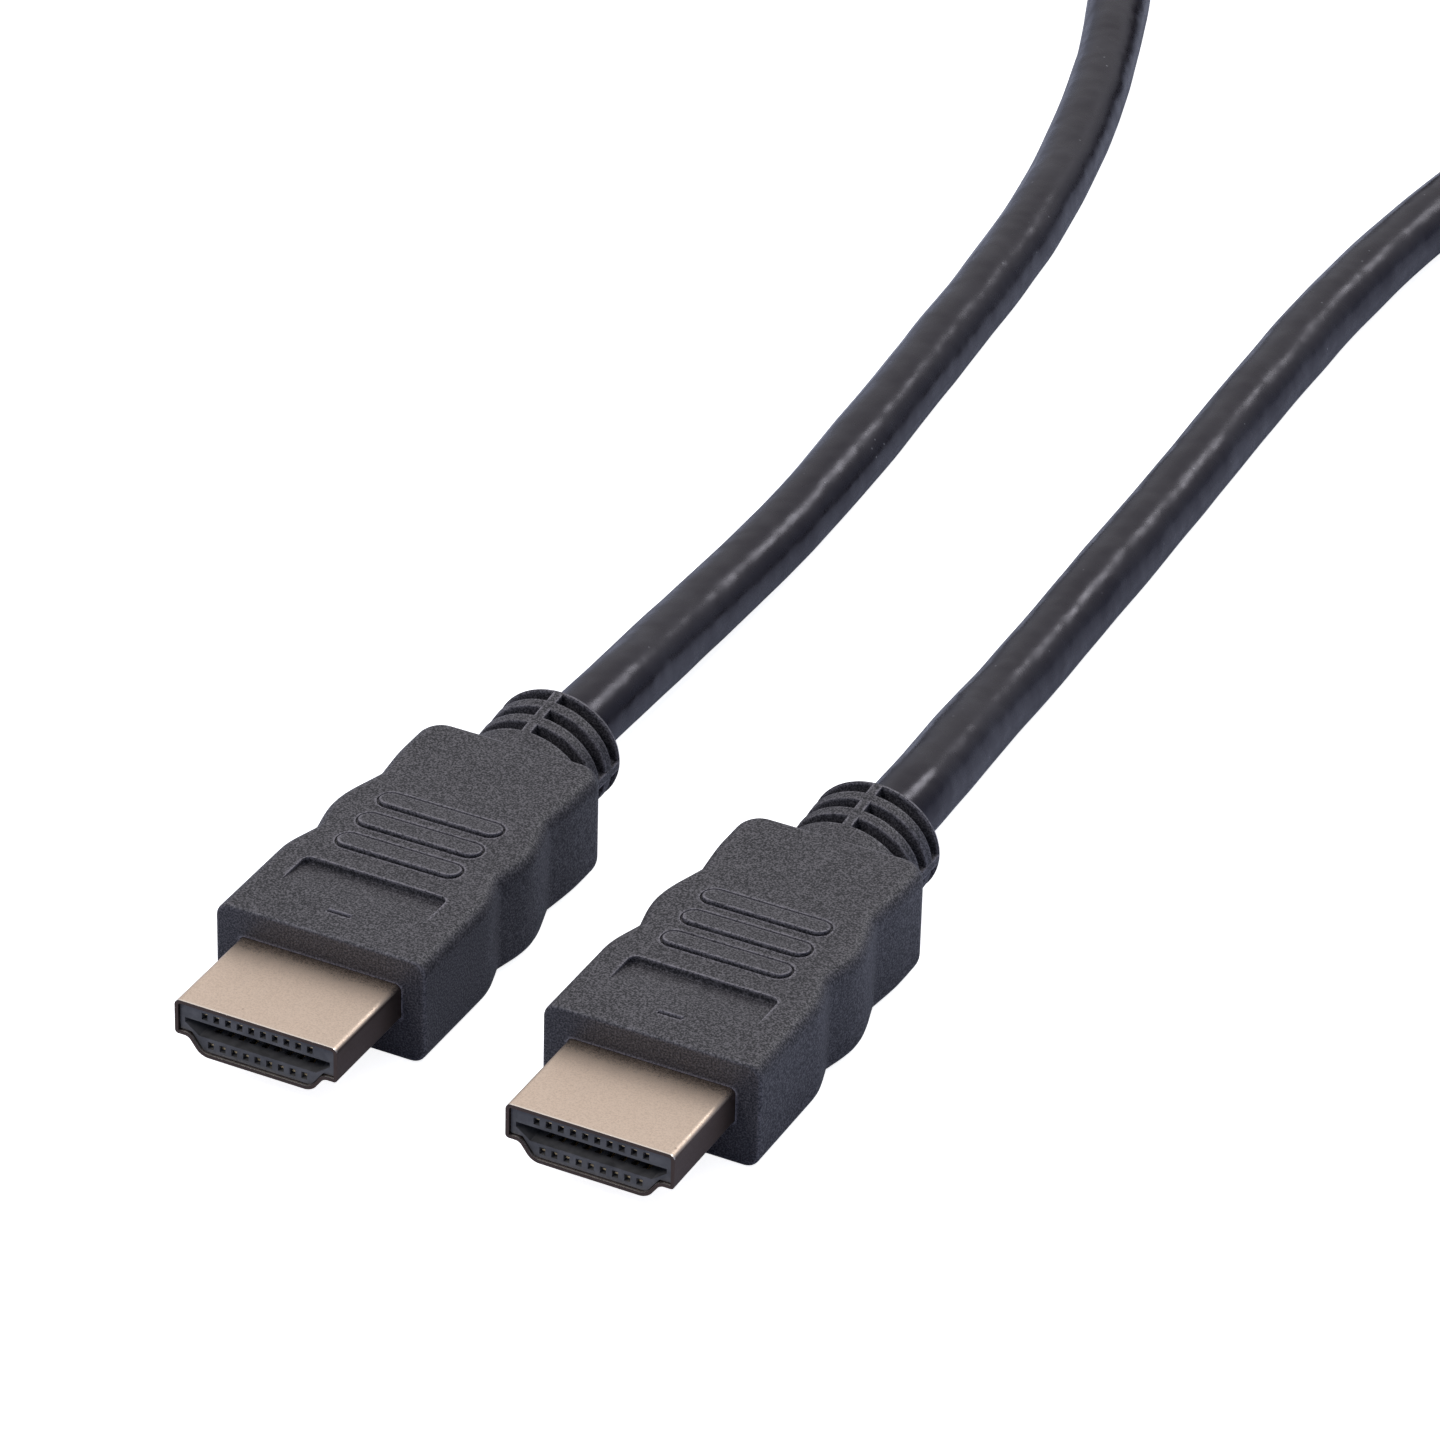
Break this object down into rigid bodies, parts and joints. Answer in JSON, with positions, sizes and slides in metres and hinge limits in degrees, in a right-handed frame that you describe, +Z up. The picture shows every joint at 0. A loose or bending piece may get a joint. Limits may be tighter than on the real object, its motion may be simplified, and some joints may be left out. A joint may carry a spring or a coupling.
{
  "type": "hdmi cable",
  "caption": "Digital video cable with a moulded plug on each end: wavy black grips, slotted strain reliefs, bright metal noses, and the spare length wound in a tied coil.",
  "frame": {"origin": "on the floor, at the middle of the box around the two plugs, without the free cable", "axes": "+X from plug a to plug b, +Y from the noses towards the cable, +Z up"},
  "size_m": [0.0822, 0.3012, 0.0136],
  "materials": {
    "overmould": "fine-grained moulded black plastic",
    "shell": "satin champagne plated sheet metal",
    "insulator": "smooth moulded black plastic",
    "contact": "gold-plated spring strip",
    "cable": "satin black extruded jacket",
    "tie": "black hook-and-loop tape"
  },
  "bodies": {
    "root": {"plug_a_overmould": "overmould", "plug_a_shell": "shell", "plug_a_insulator": "insulator", "plug_a_contact_01": "contact", "plug_a_contact_02": "contact", "plug_a_contact_03": "contact", "plug_a_contact_04": "contact", "plug_a_contact_05": "contact", "plug_a_contact_06": "contact", "plug_a_contact_07": "contact", "plug_a_contact_08": "contact", "plug_a_contact_09": "contact", "plug_a_contact_10": "contact", "plug_a_contact_11": "contact", "plug_a_contact_12": "contact", "plug_a_contact_13": "contact", "plug_a_contact_14": "contact", "plug_a_contact_15": "contact", "plug_a_contact_16": "contact", "plug_a_contact_17": "contact", "plug_a_contact_18": "contact", "plug_a_contact_19": "contact", "plug_b_overmould": "overmould", "plug_b_shell": "shell", "plug_b_insulator": "insulator", "plug_b_contact_01": "contact", "plug_b_contact_02": "contact", "plug_b_contact_03": "contact", "plug_b_contact_04": "contact", "plug_b_contact_05": "contact", "plug_b_contact_06": "contact", "plug_b_contact_07": "contact", "plug_b_contact_08": "contact", "plug_b_contact_09": "contact", "plug_b_contact_10": "contact", "plug_b_contact_11": "contact", "plug_b_contact_12": "contact", "plug_b_contact_13": "contact", "plug_b_contact_14": "contact", "plug_b_contact_15": "contact", "plug_b_contact_16": "contact", "plug_b_contact_17": "contact", "plug_b_contact_18": "contact", "plug_b_contact_19": "contact", "cable_stretch_a": "cable", "cable_stretch_b": "cable", "cable_coil": "cable", "coil_tie": "tie"}
  },
  "joints": []
}
